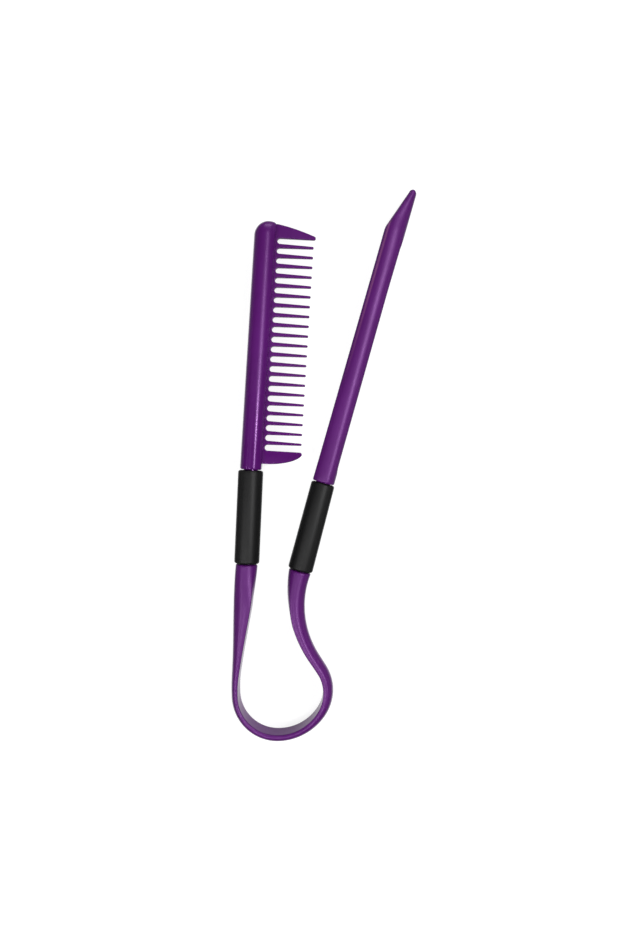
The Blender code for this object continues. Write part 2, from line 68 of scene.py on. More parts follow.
# The height above the table of every piece's middle plane
MIDDLE_HEIGHT = 0.00555
# The gap between a sleeve's end and what it meets
SEAM = 0.0003
# Points closer than this are one point
WELD = 0.000001
# A size or a change below this is none
NO_SIZE = 0.0000005


class CombSizes(bpy.types.PropertyGroup):
    """Sizes that a user would change."""

    grip_diameter: FloatProperty(
        name="Grip Diameter", description="Thickness of the rubber sleeves", default=0.0111,
        min=0.008, max=0.02, subtype="DISTANCE", unit="LENGTH", precision=5,
    )
    clamp_grip_top: FloatProperty(
        name="Clamp Grip Top", description="Thickness of the clamp arm's sleeve at its upper end",
        default=0.0105, min=0.008, max=0.02, subtype="DISTANCE", unit="LENGTH", precision=5,
    )
    comb_grip_length: FloatProperty(
        name="Comb Grip Length", description="Length of the sleeve on the toothed arm", default=0.0415,
        min=0.02, max=0.06, subtype="DISTANCE", unit="LENGTH", precision=5,
    )
    clamp_grip_length: FloatProperty(
        name="Clamp Grip Length", description="Length of the sleeve on the clamp arm", default=0.0400,
        min=0.02, max=0.06, subtype="DISTANCE", unit="LENGTH", precision=5,
    )
    spine_width: FloatProperty(
        name="Spine Width", description="Width of the toothed arm's spine", default=0.00965,
        min=0.005, max=0.02, subtype="DISTANCE", unit="LENGTH", precision=5,
    )
    spine_depth: FloatProperty(
        name="Spine Depth", description="Height of the spine above the table, at its ridge",
        default=0.0110, min=0.005, max=0.02, subtype="DISTANCE", unit="LENGTH", precision=5,
    )
    spine_length: FloatProperty(
        name="Spine Length", description="Length of the spine, from its grip to the top of its dome",
        default=0.11069, min=0.05, max=0.2, subtype="DISTANCE", unit="LENGTH", precision=5,
    )
    tooth_count: IntProperty(
        name="Teeth", description="Number of teeth between the two guards", default=21, min=5, max=40,
    )
    tooth_pitch: FloatProperty(
        name="Tooth Pitch", description="Distance from one tooth to the next", default=0.00438,
        min=0.002, max=0.01, subtype="DISTANCE", unit="LENGTH", precision=5,
    )
    tooth_root: FloatProperty(
        name="Tooth Root", description="Width of a tooth where it leaves the spine", default=0.00182,
        min=0.001, max=0.004, subtype="DISTANCE", unit="LENGTH", precision=5,
    )
    tooth_tip: FloatProperty(
        name="Tooth Tip", description="Width of a tooth at its tip", default=0.00106,
        min=0.0005, max=0.003, subtype="DISTANCE", unit="LENGTH", precision=5,
    )
    tooth_length: FloatProperty(
        name="Tooth Length", description="Length of a tooth", default=0.0163,
        min=0.005, max=0.03, subtype="DISTANCE", unit="LENGTH", precision=5,
    )
    plate_thickness: FloatProperty(
        name="Plate Thickness", description="Thickness of the toothed plate at its roots",
        default=0.0024, min=0.001, max=0.005, subtype="DISTANCE", unit="LENGTH", precision=5,
    )
    bar_depth: FloatProperty(
        name="Bar Depth", description="Height of the clamp arm above the table, at its ridge",
        default=0.0108, min=0.005, max=0.02, subtype="DISTANCE", unit="LENGTH", precision=5,
    )
    slot_width: FloatProperty(
        name="Slot Width", description="Width of the slot that the teeth pass through",
        default=0.0044, min=0.002, max=0.008, subtype="DISTANCE", unit="LENGTH", precision=5,
    )
    band_thickness: FloatProperty(
        name="Band Thickness", description="Thickness of the loop's band at its lowest point",
        default=0.0036, min=0.002, max=0.008, subtype="DISTANCE", unit="LENGTH", precision=5,
    )


class CombColours(bpy.types.PropertyGroup):
    """Colours that a user would change."""

    plastic: FloatVectorProperty(
        name="Plastic", description="Colour of the moulded plastic", subtype="COLOR", size=4,
        min=0.0, max=1.0, default=(0.082, 0.0065, 0.126, 1.0),
    )
    # Paler convex edges: partly rubbed wear, partly a painted edge highlight
    plastic_wear_and_highlight: FloatVectorProperty(
        name="Worn and Highlit Plastic", description="Paler colour of the plastic's rubbed edges", subtype="COLOR",
        size=4, min=0.0, max=1.0, default=(0.190, 0.060, 0.250, 1.0),
    )
    # Painted highlight: a paler line along the clamp arm's upper corner, standing in for the light the
    # corner catches
    corner: FloatVectorProperty(
        name="Highlit Corner", description="Paler line along the clamp arm's upper corner", subtype="COLOR",
        size=4, min=0.0, max=1.0, default=(0.20, 0.055, 0.19, 1.0),
    )
    rubber: FloatVectorProperty(
        name="Rubber", description="Colour of the rubber sleeves", subtype="COLOR", size=4,
        min=0.0, max=1.0, default=(0.0030, 0.0030, 0.0032, 1.0),
    )
    rubber_pale: FloatVectorProperty(
        name="Dusty Rubber", description="Paler colour of the rubber's grain", subtype="COLOR", size=4,
        min=0.0, max=1.0, default=(0.0065, 0.0066, 0.0070, 1.0),
    )
    floor: FloatVectorProperty(
        name="Floor", description="Colour of the table", subtype="COLOR", size=4,
        min=0.0, max=1.0, default=(0.28, 0.28, 0.28, 1.0),
    )


# Working in edit mode


def deselect_all():
    if bpy.context.mode != "OBJECT":
        bpy.ops.object.mode_set(mode="OBJECT")
    bpy.ops.object.select_all(action="DESELECT")


def make_active(item):
    deselect_all()
    item.select_set(True)
    bpy.context.view_layer.objects.active = item


def edit(item):
    make_active(item)
    bpy.ops.object.mode_set(mode="EDIT")
    bpy.ops.mesh.select_mode(type="VERT")


def leave_edit():
    bpy.ops.object.mode_set(mode="OBJECT")


def edited():
    return bmesh.from_edit_mesh(bpy.context.edit_object.data)


def select_points(test):
    """Select only the points that pass a test."""
    bpy.ops.mesh.select_mode(type="VERT")
    bpy.ops.mesh.select_all(action="DESELECT")
    work = edited()
    for point in work.verts:
        if test(point.co):
            point.select_set(True)
    work.select_flush_mode()


def select_edges(test):
    """Select only the edges whose two ends pass a test."""
    bpy.ops.mesh.select_mode(type="EDGE")
    bpy.ops.mesh.select_all(action="DESELECT")
    work = edited()
    for edge in work.edges:
        if test(edge.verts[0].co, edge.verts[1].co):
            edge.select_set(True)
    work.select_flush_mode()


def selected_points():
    return [point for point in edited().verts if point.select]


def extrude(step):
    bpy.ops.mesh.extrude_region_move(TRANSFORM_OT_translate={"value": step})


def resize(value, centre):
    bpy.ops.transform.resize(value=value, center_override=centre)


def move(step):
    bpy.ops.transform.translate(value=step)


def apply_modifier(item, kind, **settings):
    make_active(item)
    modifier = item.modifiers.new(kind.lower(), kind)
    for name, value in settings.items():
        setattr(modifier, name, value)
    bpy.ops.object.modifier_apply(modifier=modifier.name)


def apply_shape(item, other, operation):
    """Join another piece to this one or cut it out, and take it away."""
    apply_modifier(item, "BOOLEAN", operation=operation, solver="EXACT", object=other)
    bpy.data.objects.remove(other, do_unlink=True)
    weld(item)


def weld(item):
    """Join points that lie on each other, and turn every face outwards."""
    edit(item)
    bpy.ops.mesh.select_all(action="SELECT")
    bpy.ops.mesh.remove_doubles(threshold=WELD)
    bpy.ops.mesh.normals_make_consistent(inside=False)
    leave_edit()


def place(item, foot, lean):
    """Move a piece from its own stretch to its place on the table."""
    make_active(item)
    item.location = (*foot, MIDDLE_HEIGHT)
    item.rotation_euler = (0, 0, -lean)
    bpy.ops.object.transform_apply(location=True, rotation=True, scale=True)


def smooth(item, angle):
    make_active(item)
    bpy.ops.object.shade_smooth_by_angle(angle=angle)


def finish_piece(item, name, material, body, node):
    item.name = name
    item.data.name = name
    item.data.materials.clear()
    item.data.materials.append(material)
    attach(item, body)
    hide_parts(node)


# Sections along a stretch: X across it, Y along it and Z through its depth

SECTION_POINTS = 96
FLAT_CUTS = 11
CORNER_CUTS = 8


def start_section(flat_side, face, ridge, back, depth, swell, corner):
    """A filled outline across a stretch at its start: a round rod with one side cut flat.

    flat_side is -1 for a flat on the left and 1 for one on the right, where face is the flat's place.
    swell is how far the rod would reach on that side if nothing were cut away.
    """
    radius = depth / 2
    deselect_all()
    bpy.ops.mesh.primitive_circle_add(
        vertices=SECTION_POINTS,
        radius=radius,
        fill_type="NGON",
        location=(ridge, 0, 0),
        rotation=(pi / 2, 0, 0),
    )
    item = bpy.context.object
    bpy.ops.object.transform_apply(location=True, rotation=True, scale=True)
    edit(item)
    select_points(lambda co: (co.x - ridge) * flat_side < -NO_SIZE)
    resize((abs(back - ridge) / radius, 1, 1), (ridge, 0, 0))
    select_points(lambda co: (co.x - ridge) * flat_side > NO_SIZE)
    resize((swell / radius, 1, 1), (ridge, 0, 0))
    bpy.ops.mesh.select_all(action="SELECT")
    bpy.ops.mesh.bisect(
        plane_co=(face, 0, 0),
        plane_no=(flat_side, 0, 0),
        use_fill=False,
        clear_outer=True,
        clear_inner=False,
        threshold=NO_SIZE,
    )
    select_points(lambda co: abs(co.x - face) < WELD)
    bpy.ops.mesh.bevel(
        affect="VERTICES",
        offset=corner,
        offset_type="OFFSET",
        segments=CORNER_CUTS,
        profile=0.5,
        clamp_overlap=False,
    )
    select_edges(lambda a, b: abs(a.x - face) < WELD and abs(b.x - face) < WELD)
    bpy.ops.mesh.subdivide(number_cuts=FLAT_CUTS)
    bpy.ops.mesh.select_mode(type="VERT")
    bpy.ops.mesh.select_all(action="SELECT")
    return item


def shape_section(last, section):
    """Shape the selected end face from the last section into this one, each side about the ridge.

    A section is (y, low, ridge, high, depth), where low and high are its two sides.
    """
    _, last_low, last_ridge, last_high, last_depth = last
    y, low, ridge, high, depth = section
    centre = (last_ridge, y, 0)
    whole = [point.index for point in selected_points()]
    sides = (
        (-1, (ridge - low) / (last_ridge - last_low)),
        (1, (high - ridge) / (last_high - last_ridge)),
    )
    for side, share in sides:
        if abs(share - 1) > NO_SIZE:
            chosen = [p.index for p in selected_points() if (p.co.x - last_ridge) * side > NO_SIZE]
            select_indexes(chosen)
            resize((share, 1, 1), centre)
            select_indexes(whole)
    if abs(depth / last_depth - 1) > NO_SIZE:
        resize((1, 1, depth / last_depth), centre)
    if abs(ridge - last_ridge) > NO_SIZE:
        move((ridge - last_ridge, 0, 0))
    return section


def next_section(last, section):
    """Draw the end face out to a place along the stretch, and shape it there."""
    extrude((0, section[0] - last[0], 0))
    return shape_section(last, section)


def select_indexes(indexes):
    bpy.ops.mesh.select_all(action="DESELECT")
    work = edited()
    work.verts.ensure_lookup_table()
    for index in indexes:
        work.verts[index].select_set(True)
    work.select_flush(True)


def close_end():
    """Draw the end face together to a pole."""
    bpy.ops.mesh.merge(type="CENTER")


def within(value, low, high):
    return min(max(value, low), high)


def eased(share):
    share = within(share, 0, 1)
    return share * share * (3 - 2 * share)


def mix(start, end, share):
    return start + (end - start) * share


# Flat outlines, drawn point by point

SPECK = 0.001


def start_outline(point):
    """A single point to draw an outline from."""
    deselect_all()
    bpy.ops.mesh.primitive_plane_add(size=SPECK, location=point)
    item = bpy.context.object
    bpy.ops.object.transform_apply(location=True, rotation=True, scale=True)
    edit(item)
    bpy.ops.mesh.select_all(action="SELECT")
    bpy.ops.mesh.merge(type="CENTER")
    return item


def draw_to(step):
    bpy.ops.mesh.extrude_vertices_move(TRANSFORM_OT_translate={"value": step})


def draw_arc(centre, angle, steps, axis=(0, 0, 1)):
    """Carry the outline round a centre, counter-clockwise where the angle is positive."""
    bpy.ops.mesh.spin(steps=steps, dupli=False, angle=-angle, center=centre, axis=axis)


def fill_outline():
    bpy.ops.mesh.select_all(action="SELECT")
    bpy.ops.mesh.remove_doubles(threshold=WELD)
    bpy.ops.mesh.edge_face_add()


def draw_path(start, path):
    """A filled outline: each step is a place to draw to, or a centre, an angle and a count of steps."""
    item = start_outline(start)
    point = Vector(start)
    for step in path:
        if len(step) == 3 and isinstance(step[2], int):
            centre = Vector((*step[0], start[2]))
            draw_arc(centre, step[1], step[2])
            point = centre + Matrix.Rotation(step[1], 3, "Z") @ (point - centre)
        else:
            target = Vector((*step, start[2]))
            draw_to(target - point)
            point = target
    fill_outline()
    leave_edit()
    return item


# The rubber sleeves

GRIP_POINTS = 128
CORE_RADIUS = 0.0038
BORE_RADIUS = CORE_RADIUS + 0.0003
GRIP_ROUNDING = 0.00104
GRIP_SMOOTHING = radians(40)


def make_grip(length, foot_width, top_width, foot, lean):
    """A sleeve with softly rounded ends and an open bore."""
    deselect_all()
    bpy.ops.mesh.primitive_cylinder_add(
        vertices=GRIP_POINTS,
        radius=foot_width / 2,
        depth=length,
        end_fill_type="NGON",
        location=(0, SEAM + length / 2, 0),
        rotation=(-pi / 2, 0, 0),
    )
    item = bpy.context.object
    bpy.ops.object.transform_apply(location=True, rotation=True, scale=True)
    edit(item)
    top = SEAM + length
    select_points(lambda co: co.y > top - WELD)
    share = top_width / foot_width
    resize((share, 1, share), (0, top, 0))
    for end, radius in ((SEAM, foot_width / 2), (top, top_width / 2)):
        select_points(lambda co: abs(co.y - end) < WELD)
        bpy.ops.mesh.inset(thickness=radius - BORE_RADIUS, depth=0)
    select_points(lambda co: hypot(co.x, co.z) < BORE_RADIUS + WELD)
    bpy.ops.mesh.delete(type="ONLY_FACE")
    select_points(lambda co: hypot(co.x, co.z) < BORE_RADIUS + WELD)
    bpy.ops.mesh.select_mode(type="EDGE")
    bpy.ops.mesh.bridge_edge_loops()
    select_edges(
        lambda a, b: abs(a.y - b.y) < WELD
        and min(abs(a.y - SEAM), abs(a.y - top)) < WELD
        and min(hypot(a.x, a.z), hypot(b.x, b.z)) > BORE_RADIUS + WELD
    )
    bpy.ops.mesh.bevel(
        affect="EDGES", offset=GRIP_ROUNDING, segments=CORNER_CUTS, profile=0.5, clamp_overlap=True
    )
    leave_edit()
    weld(item)
    smooth(item, GRIP_SMOOTHING)
    place(item, foot, lean)
    return item


# The toothed arm

SPINE_RIDGE = -0.0001
SPINE_SWELL = 0.00555
SPINE_CORNER = 0.0009
DOME_APEX = 0.0018
DOME_HEIGHT = 0.0066
DOME_SHOULDER = 0.0018
DOME_RINGS = 18
SHOULDER = 0.0007
SHOULDER_CUTS = 6
CORE_SHARE = 0.78
CORE_SHOWN = 0.004
PLATE_INSIDE = 0.0028
ROOT_LAND = 0.0008
GUARD_FOOT = 0.0028
GUARD_LENGTH = 0.0170
LOWER_GUARD_HEIGHT = 0.00605
UPPER_GUARD_HEIGHT = 0.0061
UPPER_GUARD_FALL = radians(9.6)
UPPER_GUARD_CROWN = 0.0800
UPPER_TIP_RADIUS = 0.00084
GUARD_TIP_RADIUS = 0.0011
PLATE_TAPER = radians(1.35)
RIM_ROUNDING = 0.00038
RIM_CUTS = 5
RIM_SHARPNESS = radians(60)
GAP_END_STEPS = 8
TIP_STEPS = 10
GUARD_STEPS = 20
CROWN_STEPS = 16
COMB_SMOOTHING = radians(35)


def dome_width(rise, height):
    """The share of a dome's full width at a rise above its foot."""
    return sqrt(1 - within(rise / height, 0, 1) ** 2)


def make_spine(sizes):
    """The spine: round on its back, flat towards the teeth, and domed at its end."""
    half = sizes.spine_width / 2
    depth = sizes.spine_depth
    item = start_section(1, half, SPINE_RIDGE, -half, depth, SPINE_SWELL, SPINE_CORNER)
    section = (0, -half, SPINE_RIDGE, half, depth)
    dome_start = sizes.spine_length - DOME_HEIGHT
    shoulder_start = sizes.spine_length - DOME_SHOULDER
    for index in range(DOME_RINGS):
        y = dome_start + DOME_HEIGHT * sin(pi / 2 * index / DOME_RINGS)
        back = dome_width(y - dome_start, DOME_HEIGHT)
        front = dome_width(y - shoulder_start, DOME_SHOULDER)
        ridge = mix(DOME_APEX, SPINE_RIDGE, back)
        low, high = mix(DOME_APEX, -half, back), mix(DOME_APEX, half, front)
        section = next_section(section, (y, low, ridge, high, depth * back))
    extrude((DOME_APEX - section[2], sizes.spine_length - section[0], 0))
    close_end()
    round_end(0, -1)
    leave_edit()
    weld(item)
    return item


def round_end(end, outwards):
    """Round the edge of a stretch's end face, and draw the core out of it into the sleeve."""
    select_edges(lambda a, b: abs(a.y - end) < WELD and abs(b.y - end) < WELD)
    bpy.ops.mesh.bevel(
        affect="EDGES", offset=SHOULDER, segments=SHOULDER_CUTS, profile=0.5, clamp_overlap=False
    )
    select_points(lambda co: abs(co.y - end) < WELD)
    extrude((0, 0, 0))
    resize((CORE_SHARE, 1, CORE_SHARE), (0, end, 0))
    extrude((0, outwards * CORE_SHOWN, 0))


def half_gap(sizes):
    """Half the gap between two teeth, which is also the radius of its round end."""
    return (sizes.tooth_pitch - sizes.tooth_root) / 2


def tooth_tile(sizes, root, foot):
    """The outline of one tooth with half a gap on each side of it."""
    pitch = sizes.tooth_pitch
    gap = half_gap(sizes)
    tip = sizes.tooth_tip / 2
    shank = root + sizes.tooth_length - tip
    middle = foot + pitch / 2
    height = -sizes.plate_thickness / 2
    return draw_path(
        (PLATE_INSIDE, foot, height),
        [
            (root, foot),
            ((root + gap, foot), -pi / 2, GAP_END_STEPS),
            (shank, middle - tip),
            ((shank, middle), pi, TIP_STEPS),
            (root + gap, middle + sizes.tooth_root / 2),
            ((root + gap, foot + pitch), -pi / 2, GAP_END_STEPS),
            (PLATE_INSIDE, foot + pitch),
            (PLATE_INSIDE, foot),
        ],
    )


def lower_guard(sizes, root, top):
    """The guard next to the grip: its lower edge is nearly a quarter of an ellipse."""
    gap = half_gap(sizes)
    bottom = top - LOWER_GUARD_HEIGHT
    turned = acos(GUARD_TIP_RADIUS / LOWER_GUARD_HEIGHT)
    path = [(root, bottom)]
    for index in range(1, GUARD_STEPS + 1):
        angle = turned * index / GUARD_STEPS
        path.append((root + GUARD_LENGTH * sin(angle), top - LOWER_GUARD_HEIGHT * cos(angle)))
    tip = path[-1][0] - GUARD_TIP_RADIUS
    path += [
        ((tip, top - GUARD_TIP_RADIUS), pi / 2, GAP_END_STEPS),
        (root + gap, top),
        ((root + gap, top + gap), -pi / 2, GAP_END_STEPS),
        (PLATE_INSIDE, top + gap),
        (PLATE_INSIDE, bottom),
    ]
    return draw_path((PLATE_INSIDE, bottom, -sizes.plate_thickness / 2), path)


def upper_guard(sizes, root, bottom):
    """The guard next to the dome: its upper edge falls away along a shallow crown."""
    gap = half_gap(sizes)
    tip = root + GUARD_LENGTH - UPPER_TIP_RADIUS
    slope = tan(UPPER_GUARD_FALL) + (GUARD_LENGTH - UPPER_TIP_RADIUS) / UPPER_GUARD_CROWN
    turned = pi - atan2(slope, 1)
    end = tip + UPPER_TIP_RADIUS * cos(turned - pi / 2) - root
    path = [
        (root, bottom - gap),
        ((root + gap, bottom - gap), -pi / 2, GAP_END_STEPS),
        (tip, bottom),
        ((tip, bottom + UPPER_TIP_RADIUS), turned, TIP_STEPS),
    ]
    for index in range(CROWN_STEPS - 1, -1, -1):
        reach = end * index / CROWN_STEPS
        fall = tan(UPPER_GUARD_FALL) * reach + reach * reach / (2 * UPPER_GUARD_CROWN)
        path.append((root + reach, bottom + UPPER_GUARD_HEIGHT - fall))
    path += [(PLATE_INSIDE, bottom + UPPER_GUARD_HEIGHT), (PLATE_INSIDE, bottom - gap)]
    return draw_path((PLATE_INSIDE, bottom - gap, -sizes.plate_thickness / 2), path)


def make_plate(sizes):
    """The plate with its teeth and guards, thinner towards the tips and rounded on its rims."""
    root = sizes.spine_width / 2 + ROOT_LAND
    gap = half_gap(sizes)
    lower_top = GUARD_FOOT + LOWER_GUARD_HEIGHT
    teeth = tooth_tile(sizes, root, lower_top + gap)
    apply_modifier(
        teeth,
        "ARRAY",
        count=sizes.tooth_count,
        use_relative_offset=False,
        use_constant_offset=True,
        constant_offset_displace=(0, sizes.tooth_pitch, 0),
        use_merge_vertices=True,
        merge_threshold=WELD,
    )
    last = lower_top + gap + sizes.tooth_count * sizes.tooth_pitch
    low = lower_guard(sizes, root, lower_top)
    high = upper_guard(sizes, root, last + gap)
    make_active(teeth)
    low.select_set(True)
    high.select_set(True)
    bpy.ops.object.join()
    weld(teeth)
    edit(teeth)
    half = sizes.plate_thickness / 2
    bpy.ops.mesh.select_all(action="SELECT")
    extrude((0, 0, sizes.plate_thickness))
    for side in (-1, 1):
        select_points(lambda co: co.z * side > 0 and co.x > root - WELD)
        bpy.ops.transform.rotate(
            value=-side * PLATE_TAPER, orient_axis="Y", center_override=(root, 0, side * half)
        )
    bpy.ops.mesh.select_mode(type="EDGE")
    bpy.ops.mesh.select_all(action="DESELECT")
    bpy.ops.mesh.edges_select_sharp(sharpness=RIM_SHARPNESS)
    bpy.ops.mesh.bevel(
        affect="EDGES", offset=RIM_ROUNDING, segments=RIM_CUTS, profile=0.5, clamp_overlap=True
    )
    leave_edit()
    weld(teeth)
    return teeth


def make_comb_head(sizes):
    """Spine and toothed plate in one piece."""
    spine = make_spine(sizes)
    plate = make_plate(sizes)
    apply_shape(spine, plate, "UNION")
    smooth(spine, COMB_SMOOTHING)
    place(spine, COMB_FOOT, COMB_LEAN)
    return spine


# The clamp arm

BAR_FACE = -0.0049
BAR_RIDGE = -0.0014
BAR_RIDGE_AT_GRIP = 0.0006
BAR_SWELL = 0.0065
BAR_BACK = 0.00445
BAR_BACK_AT_GRIP = 0.00485
BAR_CORNER = 0.0007
SLOT_START = 0.004908
SLOT_END = 0.113627
TIP_START = 0.115967
TIP_CENTRE = 0.134104
TIP_SLANT = radians(18.2)
TIP_RADIUS = 0.00165
TIP_DEPTH = 0.0066
SLANT_SOFTENING = 0.0012
BAR_RINGS = 24
SOFTENED_RINGS = 8
SLANT_RINGS = 14
TIP_RINGS = 10
TIP_FLATTENING = 0.6
LAST_RING = (0.3, 1, 0.8)
SLOT_END_STEPS = 24
SLOT_FLARE = 0.0008
CUTTER_OUTSIDE = 0.002
CUTTER_REACH = 0.02
SLOT_BULGE = 0.00027
BULGE_START = 0.0900
BAR_SMOOTHING = radians(30)


def slanted_face(y):
    """The place of the bar's face: straight, then slanted, with a softened corner between."""
    past = y - TIP_START
    if past <= -SLANT_SOFTENING:
        return BAR_FACE
    if past >= SLANT_SOFTENING:
        return BAR_FACE + past * tan(TIP_SLANT)
    return BAR_FACE + tan(TIP_SLANT) * (past + SLANT_SOFTENING) ** 2 / (4 * SLANT_SOFTENING)


def bar_section(y, depth, slot_top):
    """The bar's section at y. Its back swells beside the slot's end, which keeps its outline straight."""
    face = slanted_face(y)
    along = min(y / TIP_START, 1)
    rise = within((y - BULGE_START) / (slot_top - BULGE_START), 0, 1)
    fall = within((SLOT_END - y) / (SLOT_END - slot_top), 0, 1)
    back = mix(BAR_BACK_AT_GRIP, BAR_BACK, along) + SLOT_BULGE * rise * fall
    ridge = mix(BAR_RIDGE_AT_GRIP, BAR_RIDGE, along)
    ridge = within(ridge, face + TIP_RADIUS, BAR_BACK - TIP_RADIUS)
    slanted = (face - BAR_FACE) / ((TIP_CENTRE - TIP_START) * tan(TIP_SLANT))
    return (y, face, ridge, back, mix(depth, TIP_DEPTH, min(slanted, 1)))


def make_bar(sizes):
    """The clamp arm's bar with its slanted tip, before the slot is cut."""
    depth = sizes.bar_depth
    slot_top = SLOT_END - sizes.slot_width / 2
    section = bar_section(0, depth, slot_top)
    item = start_section(-1, *section[1:], BAR_SWELL, BAR_CORNER)
    ys = [slot_top * (index + 1) / BAR_RINGS for index in range(BAR_RINGS)] + [SLOT_END]
    for index in range(SOFTENED_RINGS + 1):
        ys.append(TIP_START + SLANT_SOFTENING * (2 * index / SOFTENED_RINGS - 1))
    start = ys[-1]
    ys += [mix(start, TIP_CENTRE, (index + 1) / SLANT_RINGS) for index in range(SLANT_RINGS)]
    for y in ys:
        section = next_section(section, bar_section(y, depth, slot_top))
    last = section
    for index in range(1, TIP_RINGS):
        angle = pi / 2 * index / TIP_RINGS
        share = cos(angle)
        section = next_section(
            section,
            (
                TIP_CENTRE + TIP_RADIUS * sin(angle),
                mix(last[2], last[1], share),
                last[2],
                mix(last[2], last[3], share),
                last[4] * mix(1, share, TIP_FLATTENING),
            ),
        )
    extrude((0, TIP_CENTRE + TIP_RADIUS - section[0], 0))
    resize(LAST_RING, (last[2], TIP_CENTRE + TIP_RADIUS, 0))
    close_end()
    round_end(0, -1)
    leave_edit()
    weld(item)
    return item


def make_slot_cutter(sizes):
    """The slot's cutter: round at both ends, with a flared mouth on the face."""
    half = sizes.slot_width / 2
    mouth = BAR_FACE - CUTTER_OUTSIDE
    outer = half + SLOT_FLARE + CUTTER_OUTSIDE
    low = SLOT_START + half
    high = SLOT_END - half
    item = start_outline((mouth, low, -outer))
    draw_to((0, high - low, 0))
    draw_arc((mouth, high, 0), pi, SLOT_END_STEPS, (1, 0, 0))
    draw_to((0, low - high, 0))
    draw_arc((mouth, low, 0), pi, SLOT_END_STEPS, (1, 0, 0))
    fill_outline()
    middle = (mouth, (low + high) / 2, 0)
    length = high - low
    extrude((CUTTER_OUTSIDE + SLOT_FLARE, 0, 0))
    resize((1, (length + 2 * half) / (length + 2 * outer), half / outer), middle)
    extrude((CUTTER_REACH, 0, 0))
    leave_edit()
    weld(item)
    return item


def make_clamp_arm(sizes):
    """The slotted bar."""
    bar = make_bar(sizes)
    cutter = make_slot_cutter(sizes)
    apply_shape(bar, cutter, "DIFFERENCE")
    smooth(bar, BAR_SMOOTHING)
    place(bar, CLAMP_FOOT, CLAMP_LEAN)
    return bar


# The springy loop

LEG_WIDTH = 0.0097
NECK_WIDTH = 0.0100
HEEL_THICKNESS = 0.0032
CROWN_THICKNESS = 0.0045
LEG_TAPER = 0.0569
NECK_FLARE = 0.0512
LEG_ROUND_RUN = 0.0200
NECK_ROUND_RUN = 0.0250
RIDGE_SHARE = 0.30
FLAT_SHARE = 0.19
BAND_CORNER = 0.0009
LOOP_RINGS = 132
KNOT_TURN = radians(20)
CURVE_STEPS = 48
LOOP_SMOOTHING = radians(40)
# The loop's middle line from sleeve to sleeve: the length of each arc, and its turn to the right
LOOP_ROUTE = (
    (0.0015, radians(3.1)),
    (0.0477, 0),
    (0.0644 * radians(8.5), -radians(8.5)),
    (0.0188 * radians(86.3), -radians(86.3)),
    (0.0233 * radians(57.7), -radians(57.7)),
    (0.0178 * radians(66.6), -radians(66.6)),
    (0.0060, 0),
    (0.0473 * radians(48.4), radians(48.4)),
)


def loop_length():
    return sum(length for length, _ in LOOP_ROUTE)


def flare(distance):
    """How far the loop has opened out towards the clamp arm's sleeve, from 0 to 1."""
    left = loop_length() - distance
    return max(1 - left / NECK_FLARE, 0) ** 2


def band_at(distance, base):
    """The loop's thickness: thin round the heel, thicker at the base and crown, full at both sleeves."""
    turned = within((distance - LEG_TAPER) / (loop_length() - LEG_TAPER - NECK_FLARE), 0, 1)
    band = mix(HEEL_THICKNESS, base, eased(2 * turned))
    band = mix(band, CROWN_THICKNESS, eased(2 * turned - 1))
    band = mix(band, LEG_WIDTH, 1 - eased(distance / LEG_TAPER))
    return mix(band, NECK_WIDTH, flare(distance))


def roundness_at(distance):
    """1 where the loop is a round rod, at either sleeve, and 0 where one side of it is flat."""
    leg = 1 - eased(distance / LEG_ROUND_RUN)
    neck = 1 - eased((loop_length() - distance) / NECK_ROUND_RUN)
    return max(leg, neck)


def make_route():
    """The loop's middle line as a smooth curve from the toothed arm's sleeve to the clamp arm's."""
    deselect_all()
    bpy.ops.curve.primitive_bezier_curve_add()
    route = bpy.context.object
    route.location = (0, 0, 0)
    route.data.dimensions = "3D"
    route.data.twist_mode = "Z_UP"
    route.data.resolution_u = CURVE_STEPS
    stops = []
    point = Vector((*COMB_GRIP_FOOT, MIDDLE_HEIGHT))
    heading = pi + COMB_GRIP_LEAN
    before = 0
    for length, turn in LOOP_ROUTE:
        count = int(abs(turn) / KNOT_TURN) + 1
        for _ in range(count):
            step, bend = length / count, turn / count
            handle = step / 3 if bend == 0 else 4 / 3 * tan(abs(bend) / 4) * step / abs(bend)
            chord = step if bend == 0 else step * sin(bend / 2) / (bend / 2)
            stops.append((point.copy(), heading, before or handle, handle))
            middle = heading + bend / 2
            point = point + Vector((sin(middle), cos(middle), 0)) * chord
            heading += bend
            before = handle
    stops.append((point.copy(), heading, before, before))
    points = route.data.splines[0].bezier_points
    points.add(len(stops) - len(points))
    for knot, (place_at, heading, back, ahead) in zip(points, stops):
        along = Vector((sin(heading), cos(heading), 0))
        knot.handle_left_type = "FREE"
        knot.handle_right_type = "FREE"
        knot.co = place_at
        knot.handle_left = place_at - along * back
        knot.handle_right = place_at + along * ahead
    return route


def round_ring(y, width, depth, share):
    """Turn the ring at a place along the loop towards a round one, and bring it back to its size."""
    select_points(lambda co: abs(co.y - y) < WELD)
    bpy.ops.transform.tosphere(value=share, center_override=(0, y, 0))
    ring = [point.co for point in selected_points()]
    low = min(co.x for co in ring)
    high = max(co.x for co in ring)
    top = max(co.z for co in ring)
    resize((width / (high - low), 1, depth / 2 / top), ((low + high) / 2, y, 0))
    move((-(low + high) / 2, 0, 0))


